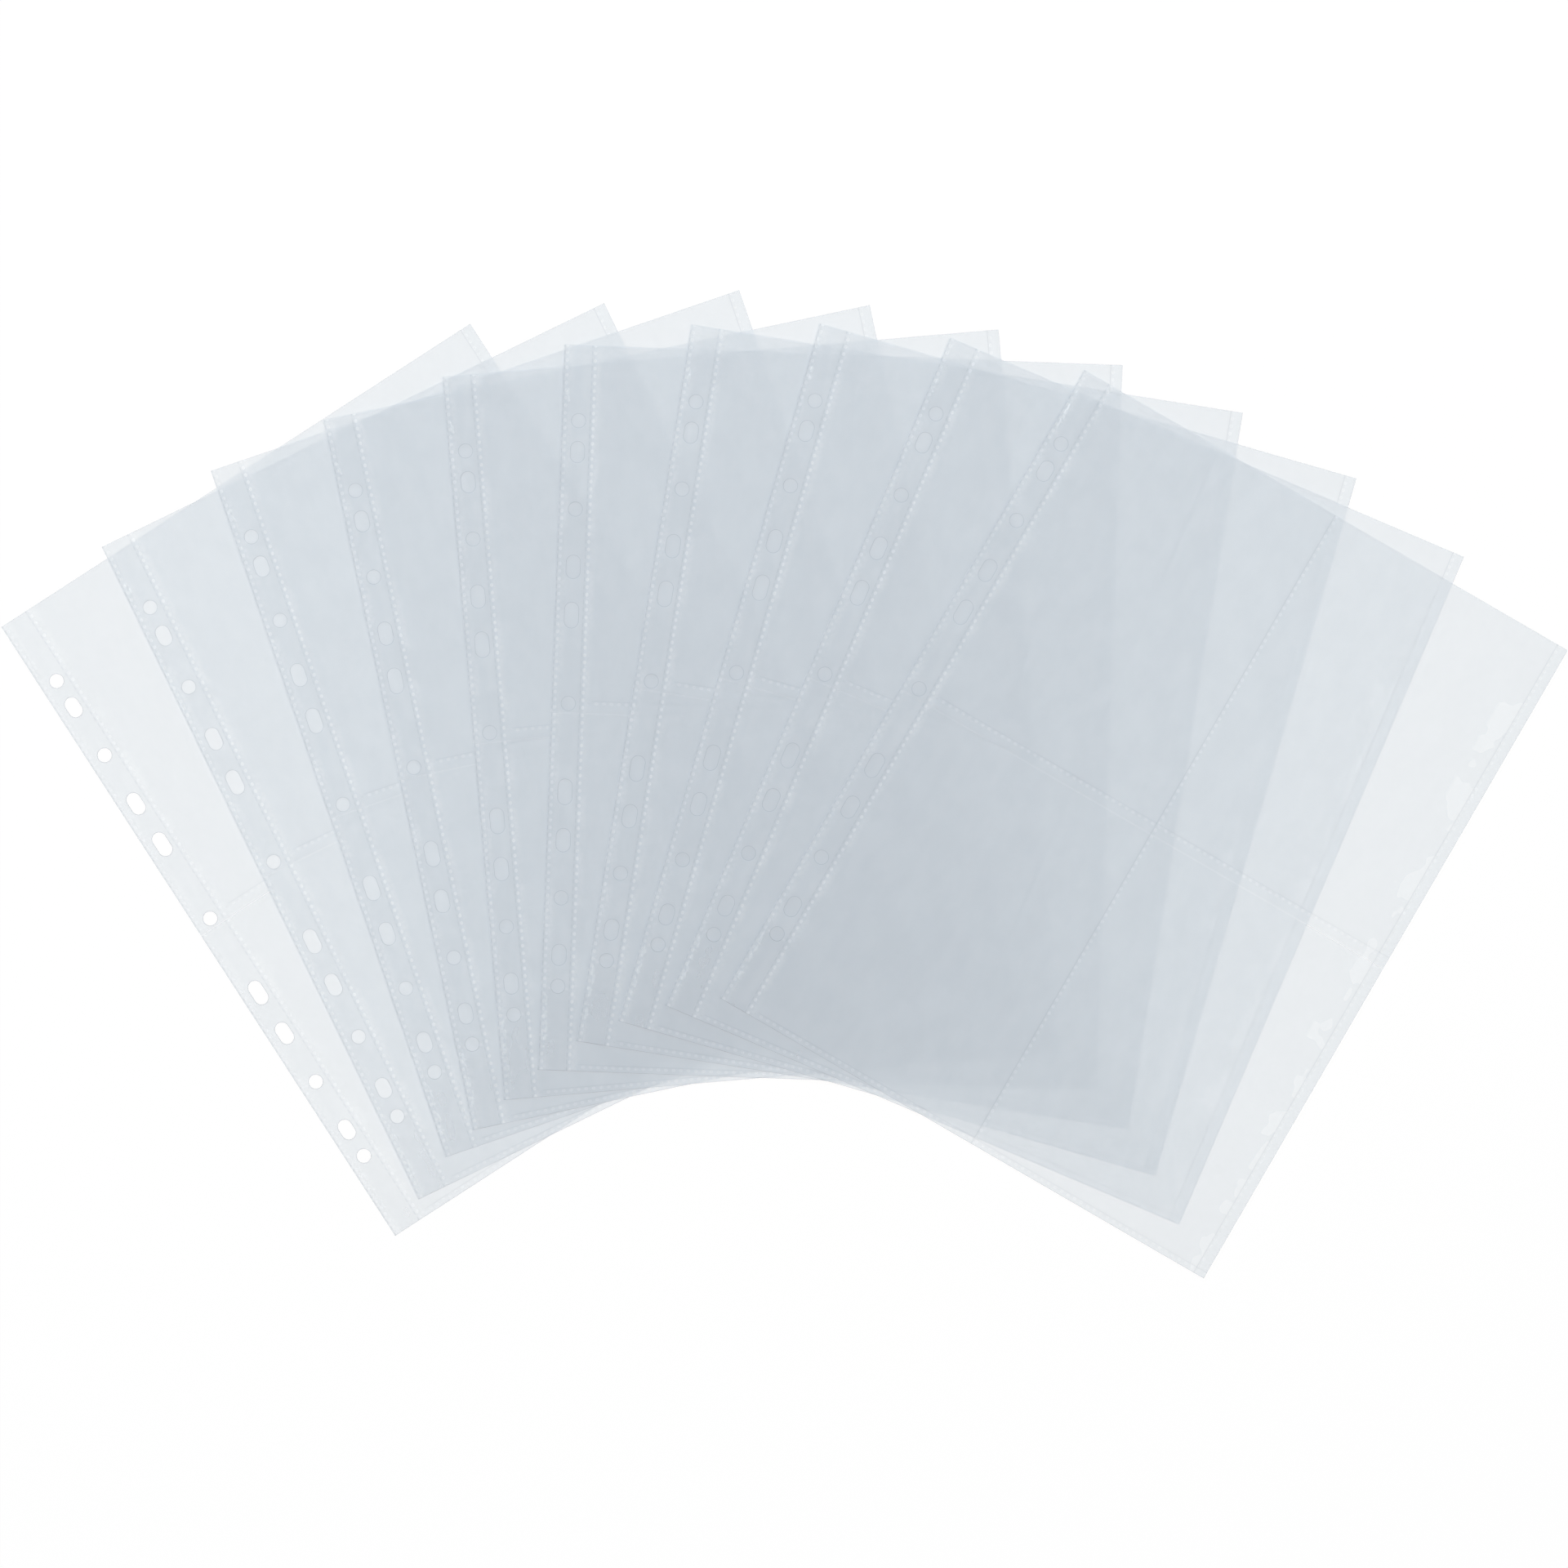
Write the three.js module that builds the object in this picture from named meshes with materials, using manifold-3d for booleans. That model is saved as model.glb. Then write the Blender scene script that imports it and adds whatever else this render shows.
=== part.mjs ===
// Ten clear film sleeves for an A4 ring binder, each with four postcard pockets, spread like a fan on a table.
// Every sleeve is a back film with two shorter films welded to its front: the upper one makes the upper pair of
// pockets and the lower one the lower pair. The pockets are empty and closed, so the films of a sleeve lie face to
// face. Millimetres, +Z up, the table at z = 0, the origin under the middle.
import * as THREE from "three";
import { mergeVertices } from "three/addons/utils/BufferGeometryUtils.js";
import Module from "manifold-3d";

const wasm = await Module();
wasm.setup();

// One sleeve. Places across it are measured from its punched edge, places along it down from its top edge.
const SLEEVE_WIDTH = 237;
const SLEEVE_HEIGHT = 307.7;
const FILM_THICKNESS = 0.12;

// The row of holes for the binder rings: a round middle hole, and pairs of holes above and below it.
const HOLE_WIDTH = 6;
const HOLE_SIDES = 12;
const HOLE_ROW_ACROSS = 7.3;
const MIDDLE_HOLE_DOWN = 152;
const HOLE_PAIRS = [
  { apart: 75, length: 10.9 },
  { apart: 116, length: 9.9 },
  { apart: 165, length: HOLE_WIDTH },
  { apart: 213.4, length: 9 },
  { apart: 240, length: HOLE_WIDTH },
];

// The weld seams, pressed into the front films, each placed by its middle line.
const WELD_WIDTH = 1.2;
const WELD_DEPTH = 0.04;
const OUTER_STRIP_SEAM_ACROSS = 1.6;
const INNER_STRIP_SEAM_ACROSS = 13.5;
const MIDDLE_SEAM_ACROSS = 124;
const RIGHT_SEAM_INSET = 4; // in from the right edge
const BOTTOM_SEAM_INSET = 1.8; // up from the bottom edge
const SEAM_END_INSET = 0.6; // from the end of a seam to the edge of its film

// The upper pockets end at a weld, and a little below it the two front films meet, where the lower pockets open.
const POCKET_FLOOR_DOWN = 151.7;
const FLOOR_TO_CUT = 4.3;
const CUT_WIDTH = 0.4;

// The fan. Each sleeve lies on the one before it, turned about a pivot below them both.
const SLEEVE_COUNT = 10;
const SLEEVE_CLEARANCE = 0.26; // air between one sleeve and the next
const FIRST_TURN_DEG = 32.9;
const TURN_STEP_DEG = -7;
// Where each sleeve's pivot lies, left of and down from the middle of its own top edge. The pivots of a fan
// spread by hand lie near each other, but not in one place.
const PIVOTS = [
  { left: 48, down: 441 },
  { left: 18.5, down: 451 },
  { left: 52.5, down: 423.5 },
  { left: 31, down: 430.5 },
  { left: 16, down: 427.5 },
  { left: 6, down: 431.5 },
  { left: 18, down: 434.5 },
  { left: 13, down: 443 },
  { left: 10.5, down: 467 },
];

const LAYER_PITCH = 2 * FILM_THICKNESS + SLEEVE_CLEARANCE;
const RIGHT_SEAM_ACROSS = SLEEVE_WIDTH - RIGHT_SEAM_INSET;
const BOTTOM_SEAM_DOWN = SLEEVE_HEIGHT - BOTTOM_SEAM_INSET;

const clearFilm = new THREE.MeshStandardMaterial({
  name: "clear_film",
  color: 0xeaeef1,
  roughness: 0.2,
  metalness: 0,
  transparent: true,
  opacity: 0.35,
});

// A flat outline with straight sides through [across, down] corners.
function outlineThrough(corners) {
  return new THREE.Shape(corners.map(([across, down]) => new THREE.Vector2(across, -down)));
}

// A closed solid of an outline between two levels.
function slab(outline, bottomLevel, topLevel) {
  const geometry = new THREE.ExtrudeGeometry(outline, { depth: topLevel - bottomLevel, bevelEnabled: false });
  return geometry.translate(0, 0, bottomLevel);
}

// The outline of one hole: a circle, or a circle parted into two half circles for a slot. Its flat sides touch
// the true outline from outside, so the hole is nowhere narrower than it should be.
function holeOutline(middleDown, length) {
  const radius = HOLE_WIDTH / 2 / Math.cos(Math.PI / HOLE_SIDES);
  const parting = (length - HOLE_WIDTH) / 2;
  const corners = [];
  for (let i = 0; i < HOLE_SIDES; i++) {
    const angle = ((i + 0.5) * 2 * Math.PI) / HOLE_SIDES;
    const half = angle < Math.PI ? -parting : parting;
    corners.push([
      HOLE_ROW_ACROSS + radius * Math.cos(angle),
      middleDown + half - radius * Math.sin(angle),
    ]);
  }
  return outlineThrough(corners);
}

// The outlines of all the holes in the row.
function holeOutlines() {
  const pairs = HOLE_PAIRS.flatMap(({ apart, length }) => [
    holeOutline(MIDDLE_HOLE_DOWN - apart / 2, length),
    holeOutline(MIDDLE_HOLE_DOWN + apart / 2, length),
  ]);
  return [holeOutline(MIDDLE_HOLE_DOWN, HOLE_WIDTH), ...pairs];
}

// The outline of a seam that runs straight down.
function uprightSeam(across, top, bottom) {
  const half = WELD_WIDTH / 2;
  return outlineThrough([
    [across - half, bottom],
    [across + half, bottom],
    [across + half, top],
    [across - half, top],
  ]);
}

// The outline of several upright seams and the level seam that crosses them all near their lower ends.
function crossedSeams(places, top, bottom, crossingDown) {
  const half = WELD_WIDTH / 2;
  const below = places.flatMap((across) => [
    [across - half, crossingDown + half],
    [across - half, bottom],
    [across + half, bottom],
    [across + half, crossingDown + half],
  ]);
  const above = places.toReversed().flatMap((across) => [
    [across + half, crossingDown - half],
    [across + half, top],
    [across - half, top],
    [across - half, crossingDown - half],
  ]);
  // The outermost seams have no corner where the level seam ends.
  return outlineThrough([...below.slice(1, -1), ...above.slice(1, -1)]);
}

function solidOf(geometry) {
  const bare = geometry.clone();
  bare.deleteAttribute("normal");
  bare.deleteAttribute("uv");
  const merged = mergeVertices(bare, 1e-4);
  const vertProperties = new Float32Array(merged.attributes.position.array);
  const triVerts = new Uint32Array(merged.index.array);
  return new wasm.Manifold(new wasm.Mesh({ numProp: 3, vertProperties, triVerts }));
}

// A punched film between two heights, lying on a level, with its weld seams pressed into its top.
function film(top, bottom, level, seams = []) {
  const topLevel = level + FILM_THICKNESS;
  const outline = outlineThrough([
    [0, bottom],
    [SLEEVE_WIDTH, bottom],
    [SLEEVE_WIDTH, top],
    [0, top],
  ]);
  const cutters = [
    ...holeOutlines().map((hole) => slab(hole, level - FILM_THICKNESS, topLevel + FILM_THICKNESS)),
    ...seams.map((seam) => slab(seam, topLevel - WELD_DEPTH, topLevel + FILM_THICKNESS)),
  ];
  const mesh = cutters
    .map(solidOf)
    .reduce((rest, cutter) => rest.subtract(cutter), solidOf(slab(outline, level, topLevel)))
    .getMesh();
  const geometry = new THREE.BufferGeometry();
  geometry.setAttribute("position", new THREE.BufferAttribute(new Float32Array(mesh.vertProperties), 3));
  geometry.setIndex(new THREE.BufferAttribute(new Uint32Array(mesh.triVerts), 1));
  geometry.computeVertexNormals();
  return geometry;
}

// Where the upper film ends and the lower one begins, and where their upright seams begin and end.
const CUT_DOWN = POCKET_FLOOR_DOWN + FLOOR_TO_CUT;
const LOWER_FILM_TOP = CUT_DOWN + CUT_WIDTH;
const UPPER_SEAMS_END = CUT_DOWN - SEAM_END_INSET;
const LOWER_SEAMS_TOP = LOWER_FILM_TOP + SEAM_END_INSET;
const LOWER_SEAMS_END = SLEEVE_HEIGHT - SEAM_END_INSET;

const backFilm = film(0, SLEEVE_HEIGHT, 0);
const upperPocketFilm = film(0, CUT_DOWN, FILM_THICKNESS, [
  uprightSeam(OUTER_STRIP_SEAM_ACROSS, SEAM_END_INSET, UPPER_SEAMS_END),
  crossedSeams(
    [INNER_STRIP_SEAM_ACROSS, MIDDLE_SEAM_ACROSS, RIGHT_SEAM_ACROSS],
    SEAM_END_INSET,
    UPPER_SEAMS_END,
    POCKET_FLOOR_DOWN,
  ),
]);
const lowerPocketFilm = film(LOWER_FILM_TOP, SLEEVE_HEIGHT, FILM_THICKNESS, [
  crossedSeams(
    [OUTER_STRIP_SEAM_ACROSS, INNER_STRIP_SEAM_ACROSS, MIDDLE_SEAM_ACROSS, RIGHT_SEAM_ACROSS],
    LOWER_SEAMS_TOP,
    LOWER_SEAMS_END,
    BOTTOM_SEAM_DOWN,
  ),
]);

// One sleeve, with its origin at the middle of its top edge.
function sleeve(number) {
  const label = "sleeve_" + String(number).padStart(2, "0");
  const films = { back_film: backFilm, upper_pocket_film: upperPocketFilm, lower_pocket_film: lowerPocketFilm };
  const group = new THREE.Group();
  group.name = label;
  for (const [name, geometry] of Object.entries(films)) {
    const mesh = new THREE.Mesh(geometry, clearFilm);
    mesh.name = label + "_" + name;
    mesh.position.x = -SLEEVE_WIDTH / 2;
    group.add(mesh);
  }
  return group;
}

// Each sleeve hangs in the group of the one beneath it, at the pivot between the two.
const fan = new THREE.Group();
fan.rotation.z = THREE.MathUtils.degToRad(FIRST_TURN_DEG);
let lower = sleeve(1);
fan.add(lower);
for (let number = 2; number <= SLEEVE_COUNT; number++) {
  const { left, down } = PIVOTS[(number - 2) % PIVOTS.length];
  const upper = sleeve(number);
  const pivot = new THREE.Group();
  pivot.name = upper.name + "_pivot";
  pivot.position.set(-left, -down, LAYER_PITCH);
  pivot.rotation.z = THREE.MathUtils.degToRad(TURN_STEP_DEG);
  upper.position.set(left, down, 0);
  pivot.add(upper);
  lower.add(pivot);
  lower = upper;
}

// The fan is centred over the origin.
const middle = new THREE.Box3().setFromObject(fan, true).getCenter(new THREE.Vector3());
fan.position.set(-middle.x, -middle.y, 0);

const root = new THREE.Group();
root.add(fan);
export default root;
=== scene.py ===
"""Ten clear postcard sleeves for a ring binder, spread like a fan on a pale table.

Each sleeve is a back film with an upper and a lower pocket film welded to its front. The films are thin
closed sheets with punched holes, pressed seams, and the puckers and ridges that welding leaves. A row of
small weld spots runs along every seam. Sizes are in millimetres and become metres where a mesh is made.
"""

from __future__ import annotations

import logging
import math
from dataclasses import dataclass, field
from enum import Enum

import bpy
import numpy as np
from bpy.types import ID, Material, Mesh, Node, NodeSocket, Object, World
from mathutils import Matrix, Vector
from mathutils.geometry import delaunay_2d_cdt


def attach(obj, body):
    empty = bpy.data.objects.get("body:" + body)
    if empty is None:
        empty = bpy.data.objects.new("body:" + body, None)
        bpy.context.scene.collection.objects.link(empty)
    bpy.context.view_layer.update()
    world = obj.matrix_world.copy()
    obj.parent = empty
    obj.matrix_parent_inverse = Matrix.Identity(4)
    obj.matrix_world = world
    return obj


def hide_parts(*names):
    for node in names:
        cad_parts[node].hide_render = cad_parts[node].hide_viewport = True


log = logging.getLogger("postcard_sleeves")

MM = 0.001
SLEEVE_COUNT = 10
FIRST_TURN_DEG = 32.9
TURN_STEP_DEG = -7.0
PLACE_MAP = "place"
GRAIN_MAP = "grain"
RIM = "rim"
# The mesh number that marks where a pocket film gets a painted highlight: its ridges and its open edge.
PAINTED_HIGHLIGHT = "painted_highlight"

Array = np.ndarray
UP: Array = np.array([0.0, 0.0, 1.0])
Colour = tuple[float, float, float, float]
WHITE: Colour = (1.0, 1.0, 1.0, 1.0)

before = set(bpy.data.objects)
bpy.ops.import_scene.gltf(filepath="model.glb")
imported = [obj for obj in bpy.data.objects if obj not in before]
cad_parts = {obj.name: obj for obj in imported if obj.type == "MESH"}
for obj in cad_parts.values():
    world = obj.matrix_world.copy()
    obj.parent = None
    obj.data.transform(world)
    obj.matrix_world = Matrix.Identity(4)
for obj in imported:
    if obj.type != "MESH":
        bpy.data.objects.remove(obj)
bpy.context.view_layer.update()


def placed(name: str, data: ID) -> Object:
    """Adds an object with some data to the scene.

    Args:
        name: The object's name.
        data: Its mesh, lamp or camera.

    Returns:
        The object.
    """
    made = bpy.data.objects.new(name, data)
    bpy.context.scene.collection.objects.link(made)
    return made


class Film(Enum):
    """The three films of a sleeve, by the end of their node's name."""

    BACK = "back_film"
    UPPER = "upper_pocket_film"
    LOWER = "lower_pocket_film"


@dataclass(frozen=True)
class Hole:
    """A punched hole for a binder ring, a circle or a slot along the strip.

    Args:
        down: How far its middle lies from the sleeve's top edge.
        length: Its length along the strip, which is its width if it is round.
    """

    down: float
    length: float


@dataclass(frozen=True)
class SleeveDesign:
    """The sizes of one sleeve, measured across from its punched edge and down from its top edge."""

    width: float = 237.0
    height: float = 307.7
    sheet: float = 0.11
    film_pitch: float = 0.12
    hole_width: float = 6.0
    hole_row: float = 7.3
    middle_hole: float = 152.0
    hole_pairs: tuple[tuple[float, float], ...] = ((75, 10.9), (116, 9.9), (165, 6), (213.4, 9), (240, 6))
    outer_seam: float = 1.6
    inner_seam: float = 13.5
    middle_seam: float = 124.0
    right_seam_inset: float = 4.0
    bottom_seam_inset: float = 1.8
    floor_seam: float = 151.7
    cut: float = 156.0
    cut_width: float = 0.16
    seam_width: float = 1.2
    seam_depth: float = 0.03
    seam_end: float = 0.6
    spot_pitch: float = 3.2
    spot_length: float = 1.5

    @property
    def right_seam(self) -> float:
        """The middle line of the seam along the open edge."""
        return self.width - self.right_seam_inset

    @property
    def bottom_seam(self) -> float:
        """The middle line of the seam along the bottom edge."""
        return self.height - self.bottom_seam_inset

    @property
    def upright_seams(self) -> tuple[float, ...]:
        """The middle lines of the four seams that run down the sleeve."""
        return (self.outer_seam, self.inner_seam, self.middle_seam, self.right_seam)

    def holes(self) -> list[Hole]:
        """The holes from top to bottom.

        Returns:
            All eleven holes of the row.
        """
        holes = [Hole(self.middle_hole, self.hole_width)]
        for apart, length in self.hole_pairs:
            holes += [Hole(self.middle_hole + side * apart / 2, length) for side in (-1, 1)]
        return sorted(holes, key=lambda hole: hole.down)

    def span(self, film: Film) -> tuple[float, float]:
        """The places of a film's top and bottom edges."""
        top = self.cut + self.cut_width if film is Film.LOWER else 0.0
        return top, self.cut if film is Film.UPPER else self.height


@dataclass
class Waves:
    """Smooth unevenness as a sum of a few sine waves with seeded directions and phases.

    Args:
        seed: What the waves are drawn from.
        length: The usual length of a wave.
        stretch: How many times longer the waves are down the sleeve than across it.
        count: How many waves are summed.
    """

    seed: int
    length: float
    stretch: float = 1.0
    count: int = 7

    def __post_init__(self) -> None:
        """Draws the waves."""
        draw = np.random.default_rng(self.seed)
        heading = draw.uniform(0, 2 * math.pi, self.count)
        rate = 2 * math.pi / (self.length * draw.uniform(0.7, 1.6, self.count))
        self._across = rate * np.cos(heading)
        self._down = rate * np.sin(heading) / self.stretch
        self._phase = draw.uniform(0, 2 * math.pi, self.count)

    def at(self, across: Array, down: Array) -> Array:
        """The waves' height at some points.

        Args:
            across: The points' places across the sleeve.
            down: The points' places down the sleeve.

        Returns:
            Heights that mostly lie between -1 and 1.
        """
        total = np.zeros_like(across)
        for rate_across, rate_down, phase in zip(self._across, self._down, self._phase):
            total += np.sin(across * rate_across + down * rate_down + phase)
        return total / math.sqrt(self.count)


def ease(values: Array, low: float, high: float) -> Array:
    """A smooth step from 0 at low to 1 at high, where high may be below low."""
    share = np.clip((values - low) / (high - low), 0.0, 1.0)
    return share * share * (3 - 2 * share)


@dataclass
class Puckers:
    """How far a pocket film stands off the back film, from the pull of its welds.

    Args:
        design: The sleeve's sizes.
        seed: The sleeve's own seed.
        most: The widest gap.
        pulls: How far each upright seam's puckers reach, and how high they are.
        ridge_middle: Where the long ridge by the outer seam has its middle. The tick is the short one.
        cross_ridges: Where short ridges cross the strip.
    """

    design: SleeveDesign
    seed: int
    most: float = 0.2
    pulls: tuple[tuple[float, float], ...] = ((3.2, 0.06), (7.0, 0.10), (4.0, 0.05), (4.0, 0.03))
    ridge_middle: float = 286.0
    ridge_half_length: float = 14.0
    ridge_across: float = 2.5
    ridge_half_width: float = 0.42
    ridge_height: float = 0.09
    tick_middle: float = 21.0
    tick_half_length: float = 3.6
    cross_ridges: tuple[float, ...] = (279.5, 285.0, 291.5, 296.0)
    strip_swell: float = 0.07
    pocket_swell: float = 0.05

    def lift(self, across: Array, down: Array) -> Array:
        """The gap under the film at some points.

        Args:
            across: The points' places across the sleeve.
            down: The points' places down the sleeve.

        Returns:
            The gaps, which are 0 on the seams.
        """
        d = self.design
        patches = Waves(self.seed, 30.0).at(across, down)
        lean = self._lean(across, down)
        crinkle = self._crinkle(across, down)
        swell = Waves(self.seed + 3, 60.0, stretch=1.8).at(across, down)
        pleats = 0.5 + 0.5 * np.sin(2 * math.pi * down / d.spot_pitch + 1.2 * lean)
        total = self.pocket_swell * (0.6 + 0.4 * swell)
        total += self.strip_swell * ease(across, d.inner_seam, d.inner_seam - 3) * (0.5 + 0.5 * lean)
        strength = np.clip(0.45 + 0.55 * patches, 0.05, 1)
        roughness = 0.55 * pleats + 0.3 * (1 + crinkle)
        for seam, (reach, height) in zip(d.upright_seams, self.pulls):
            near = np.exp(-np.abs(across - seam) / reach)
            if seam == d.inner_seam:
                near *= ease(across, seam - 4, seam + 2)
            total += height * near * strength * roughness
        total += self.ridge_height * self.creases(across, down)
        return np.clip(total, 0.0, self.most) * self._free(across, down)

    def _lean(self, across: Array, down: Array) -> Array:
        """Slow waves that bend ridges and pleats."""
        return Waves(self.seed + 1, 14.0).at(across, down)

    def _crinkle(self, across: Array, down: Array) -> Array:
        """Quick waves that break up ridges and pleats."""
        return Waves(self.seed + 2, 3.4, count=9).at(across, down)

    def creases(self, across: Array, down: Array) -> Array:
        """The sharp ridges by the outer seam, with short ones across them, from 0 to about 1, which also
        mark where a painted highlight goes.

        Args:
            across: The points' places across the sleeve.
            down: The points' places down the sleeve.

        Returns:
            The heights of the ridges as shares of the full one.
        """
        lean, crinkle = self._lean(across, down), self._crinkle(across, down)
        broken = np.clip(0.55 + 0.7 * crinkle, 0.0, 1.0)
        total = np.zeros_like(across)
        for middle, half_length in (
            (self.ridge_middle, self.ridge_half_length),
            (self.tick_middle, self.tick_half_length),
        ):
            line = self.ridge_across + 0.35 * np.sin(down / 1.7 + lean)
            window = ease(np.abs(down - middle), half_length, 0.7 * half_length)
            total += window * broken * np.exp(-(((across - line) / self.ridge_half_width) ** 2))
            total += 0.5 * window * broken * np.exp(-(((across - line) / (3 * self.ridge_half_width)) ** 2))
        for place in self.cross_ridges:
            line = place + 1.6 * lean + 0.35 * (across - self.ridge_across)
            window = ease(across, 5.0, 2.6)
            total += 0.5 * window * np.exp(-(((down - line) / self.ridge_half_width) ** 2))
        return total

    def _free(self, across: Array, down: Array) -> Array:
        """0 on the seams and at the film's outer edges, rising to 1 a little way off.

        Args:
            across: The points' places across the sleeve.
            down: The points' places down the sleeve.

        Returns:
            How freely the film can lift there.
        """
        d = self.design
        half = d.seam_width / 2
        free = ease(across, d.outer_seam + 0.25, d.outer_seam + 0.9)
        for seam in d.upright_seams[1:]:
            free *= ease(np.abs(across - seam), half, half + 1.2)
        for seam in (d.floor_seam, d.bottom_seam):
            level = ease(np.abs(down - seam), half, half + 1.2)
            free *= np.where(across > d.inner_seam, level, 1.0)
        return free * ease(d.width - across, 0.0, 1.0)


@dataclass
class FilmCut:
    """A film laid out flat: its points, triangles and edges.

    Args:
        design: The sleeve's sizes.
        film: Which film it is.
        fine_step: How far apart points lie along a seam. In a pocket the coarse step is used.
        rim_width: How wide the cut rim is seen.
        points: The points' places across and down.
        triangles: The triangles, facing up.
        rim: How strongly each point belongs to the rim of a hole or side.
        open_edge: 1 for the points on a pocket's open edge.
    """

    design: SleeveDesign
    film: Film
    fine_step: float = 0.95
    coarse_step: float = 5.0
    edge_step: float = 1.9
    ridge_step: float = 0.3
    rim_width: float = 0.35
    circle_points: int = 40
    points: Array = field(init=False)
    triangles: Array = field(init=False)
    rim: Array = field(init=False)
    open_edge: Array = field(init=False)

    OFFSETS = (0.0, 0.5, 0.8, 1.3, 1.9, 2.6, 3.4, 4.3, 5.4, 6.8)
    RIDGED = ((16.0, 26.0), (271.0, 301.0))
    RIDGED_ACROSS = (2.1, 5.4)
    HOLE_RIM = 1.0
    BOTTOM_RIM = 0.8
    SIDE_RIM = 0.5
    SAME_PLACE = 0.01
    MERGED = 1e-5
    HAIR = 0.02
    CLEARANCE = 0.35
    STRIP_STEP = 2.4
    LEVEL_STEP = 1.5

    def __post_init__(self) -> None:
        """Lays out the points and joins them into triangles."""
        top, bottom = self.design.span(self.film)
        sides = self._outline(top, bottom)
        loops = [sides, *self._hole_loops(top, bottom, 0.0)]
        rings = [self._inset(sides, top, bottom), *self._hole_loops(top, bottom, self.rim_width)]
        inner = self._thinned(self._inside(top, bottom))
        everything = np.concatenate([*loops, *rings, inner, *self._ridge_points(top, bottom)])
        edges = []
        start = 0
        for loop in (*loops, *rings):
            size = len(loop)
            edges += [(start + i, start + (i + 1) % size) for i in range(size)]
            start += size
        flat = [Vector((across, -down)) for across, down in everything]
        made = delaunay_2d_cdt(flat, edges, [], 0, self.MERGED)
        self.points = np.array([(point.x, -point.y) for point in made[0]])
        triangles = np.array([face for face in made[2] if len(face) == 3])
        middles = self.points[triangles].mean(axis=1)
        self.triangles = self._facing_up(triangles[self._clear_of_holes(middles, -self.HAIR)])
        mouth = {Film.UPPER: bottom, Film.LOWER: top}.get(self.film, -1.0)
        self._mark_edges(made[3], len(sides), sum(map(len, loops)), mouth)

    def _facing_up(self, triangles: Array) -> Array:
        """The triangles, with those turned over that face down.

        Args:
            triangles: Three points for each.

        Returns:
            The same triangles, all facing up.
        """
        corners = self.points[triangles]
        first = corners[:, 1] - corners[:, 0]
        second = corners[:, 2] - corners[:, 0]
        down = first[:, 0] * second[:, 1] - first[:, 1] * second[:, 0] > 0
        triangles[down] = triangles[down][:, ::-1]
        return triangles

    def _mark_edges(self, sources: list[list[int]], side_count: int, edge_count: int, mouth: float) -> None:
        """Marks the points on the film's cut edges.

        Args:
            sources: For each point, the places in the list that it was made from.
            side_count: How many of the first in that list lie on the film's sides.
            edge_count: How many lie on the sides or round a hole.
            mouth: How far down the pocket's open edge lies.
        """
        self.open_edge = np.zeros(len(self.points))
        self.rim = np.zeros(len(self.points))
        for i, came_from in enumerate(sources):
            first = min(came_from, default=edge_count)
            if first >= edge_count:
                continue
            down = self.points[i, 1]
            if abs(down - mouth) < self.SAME_PLACE:
                self.open_edge[i] = 1.0
            elif first >= side_count:
                self.rim[i] = self.HOLE_RIM
            else:
                at_bottom = abs(down - self.design.height) < self.SAME_PLACE
                self.rim[i] = self.BOTTOM_RIM if at_bottom else self.SIDE_RIM

    def _outline(self, top: float, bottom: float) -> Array:
        """Points along the film's four sides.

        Args:
            top: Where the film begins.
            bottom: Where it ends.

        Returns:
            The points in order round the film.
        """
        width = self.design.width
        n_across = round(width / self.edge_step)
        n_down = round((bottom - top) / self.edge_step)
        across = np.linspace(0, width, n_across + 1)
        down = np.linspace(top, bottom, n_down + 1)
        sides = (
            (across[:-1], np.full(n_across, top)),
            (np.full(n_down, width), down[:-1]),
            (across[:0:-1], np.full(n_across, bottom)),
            (np.zeros(n_down), down[:0:-1]),
        )
        return np.concatenate([np.stack(side, 1) for side in sides])

    def _inset(self, outline: Array, top: float, bottom: float) -> Array:
        """The points of an outline moved inwards, to where the cut rim ends.

        Args:
            outline: The points of the film's sides.
            top: Where the film begins.
            bottom: Where it ends.

        Returns:
            The moved points.
        """
        inset = self.rim_width
        across = np.clip(outline[:, 0], inset, self.design.width - inset)
        down = np.clip(outline[:, 1], top + inset, bottom - inset)
        return np.stack([across, down], 1)

    def _hole_loops(self, top: float, bottom: float, grow: float) -> list[Array]:
        """The outlines of the holes in this film, grown by a rim.

        Args:
            top: Where the film begins.
            bottom: Where it ends.
            grow: How wide the rim is.

        Returns:
            The points round each hole.
        """
        d = self.design
        radius = d.hole_width / 2 + grow
        angles = (np.arange(self.circle_points) + 0.5) * 2 * math.pi / self.circle_points
        loops = []
        for hole in d.holes():
            if not top < hole.down < bottom:
                continue
            half = (hole.length - d.hole_width) / 2
            shift = np.where(np.sin(angles) > 0, half, -half)
            across = d.hole_row + radius * np.cos(angles)
            loops.append(np.stack([across, hole.down + shift + radius * np.sin(angles)], 1))
        return loops

    def _clear_of_holes(self, points: Array, room: float) -> Array:
        """Which points lie more than some room outside every hole.

        Args:
            points: Places across and down.
            room: The room, which may be below 0.

        Returns:
            A yes or no for each point.
        """
        d = self.design
        clear = np.ones(len(points), bool)
        for hole in d.holes():
            half = (hole.length - d.hole_width) / 2
            beside = points[:, 0] - d.hole_row
            along = np.maximum(np.abs(points[:, 1] - hole.down) - half, 0)
            clear &= np.hypot(beside, along) > d.hole_width / 2 + room
        return clear

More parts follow.
